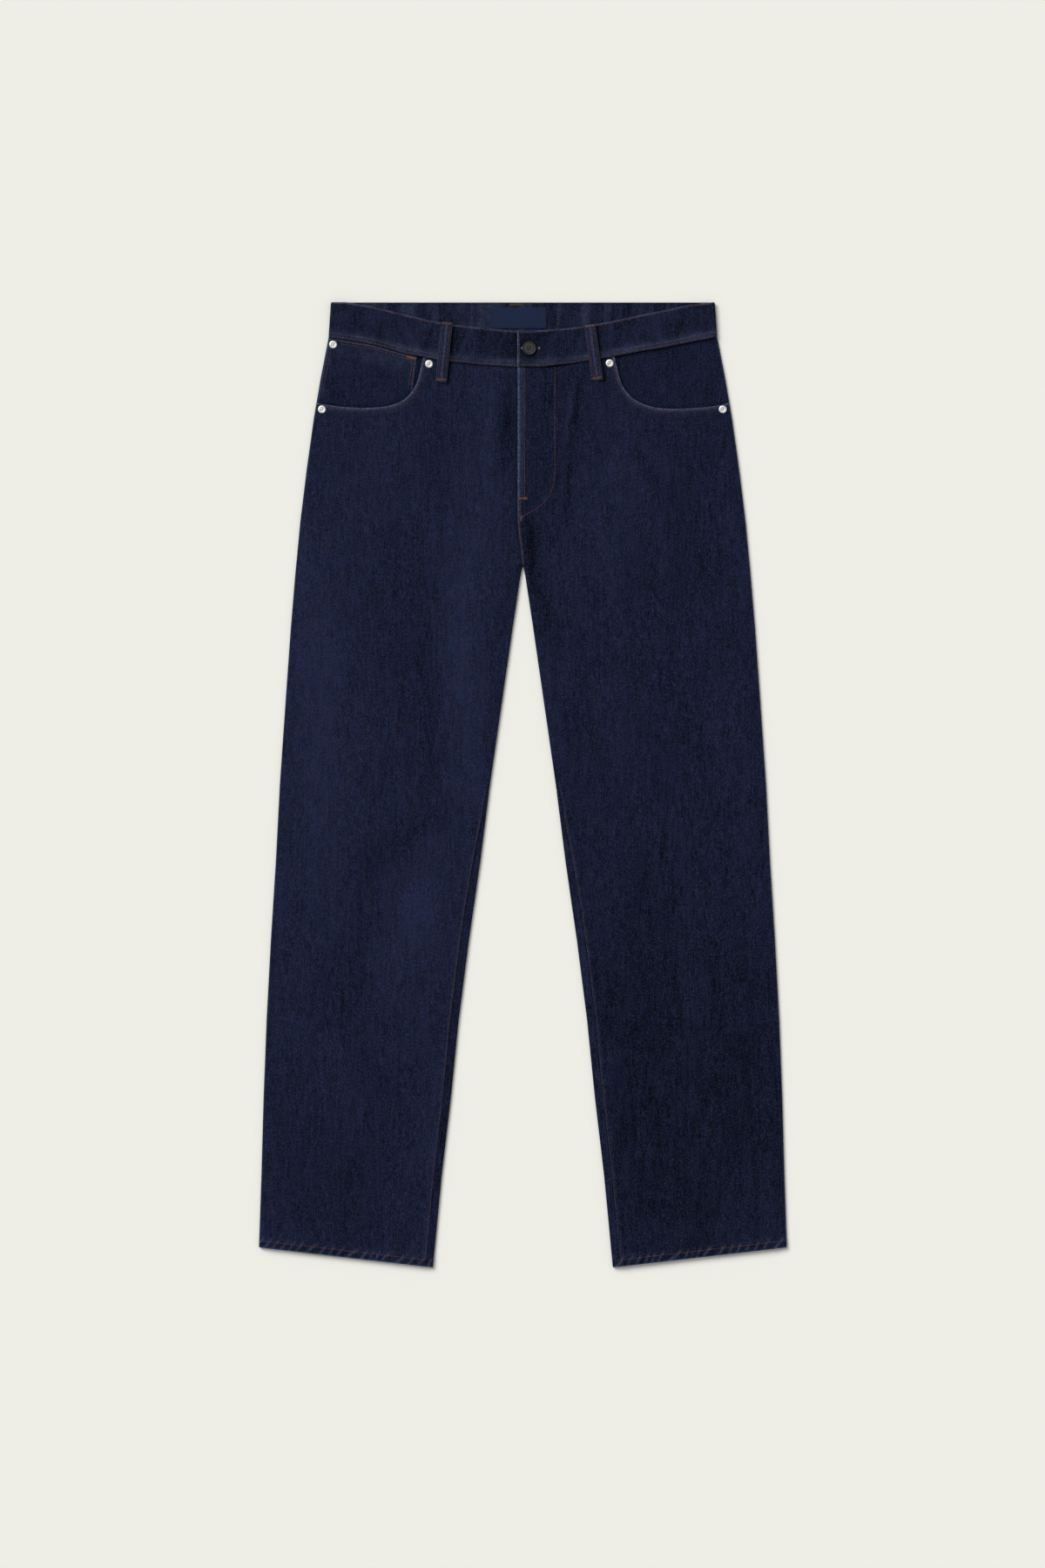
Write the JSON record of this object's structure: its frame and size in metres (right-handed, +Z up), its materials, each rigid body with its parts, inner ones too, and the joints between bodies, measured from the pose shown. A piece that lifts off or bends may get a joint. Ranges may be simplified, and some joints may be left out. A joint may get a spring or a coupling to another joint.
{
  "type": "loose fit jeans",
  "caption": "Loose fit dark denim jeans lying flat, front up, with a buttoned waistband, belt loops, curved front pockets, a coin pocket and straight hemmed legs.",
  "frame": {"origin": "bottom centre of the bounding box, on the floor the jeans lie on", "axes": "+Z up from the floor, +Y toward the waist, +X toward the wearer's left leg, the front facing up"},
  "size_m": [0.606, 1.107, 0.0128],
  "materials": {
    "denim": "dark indigo twill, matt, faintly slubbed",
    "denim_pocket": "dark indigo twill, matt, smooth",
    "denim_band": "dark indigo twill, pale worn edges, copper thread",
    "label_cloth": "plain blue patch, matt",
    "dark_metal": "gunmetal, satin",
    "bright_metal": "pale silver, satin"
  },
  "bodies": {
    "root": {"front_panel_left": "denim", "front_panel_right": "denim", "back_panel_left": "denim", "back_panel_right": "denim", "yoke_left": "denim", "yoke_right": "denim", "back_pocket_left": "denim", "back_pocket_right": "denim", "pocket_facing_left": "denim_pocket", "pocket_facing_right": "denim_pocket", "coin_pocket": "denim_pocket", "waistband": "denim_band", "belt_loop_front_left": "denim_band", "belt_loop_front_right": "denim_band", "belt_loop_back_left": "denim_band", "belt_loop_back_middle": "denim_band", "belt_loop_back_right": "denim_band", "waist_label": "label_cloth", "button": "dark_metal", "rivet_1": "bright_metal", "rivet_2": "bright_metal", "rivet_3": "bright_metal", "rivet_4": "bright_metal", "rivet_5": "bright_metal"}
  },
  "joints": []
}
